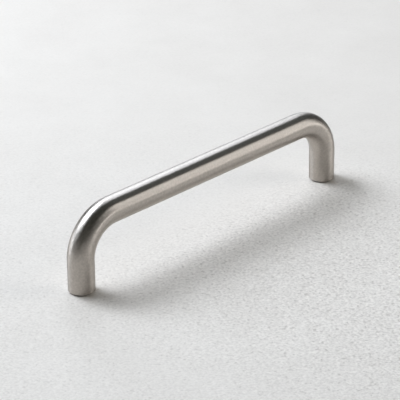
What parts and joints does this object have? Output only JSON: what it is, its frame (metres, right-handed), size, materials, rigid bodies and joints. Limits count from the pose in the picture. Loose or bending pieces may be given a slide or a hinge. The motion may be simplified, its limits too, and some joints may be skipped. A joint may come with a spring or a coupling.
{
  "type": "bridge pull handle",
  "caption": "Bridge pull handle bent from one round satin stainless bar, with a blind tapped hole in the foot of each leg.",
  "frame": {"origin": "centre of the mounting plane, midway between the two tapped holes, at the underside of both feet", "axes": "+X along the grip from the left leg to the right leg, +Y across the bar, +Z from the mounting plane out to the grip"},
  "size_m": [0.138, 0.01, 0.032],
  "materials": {
    "satin_stainless": "fine satin, with hairlines round the bar"
  },
  "bodies": {
    "root": {"handle_bar": "satin_stainless"}
  },
  "joints": []
}
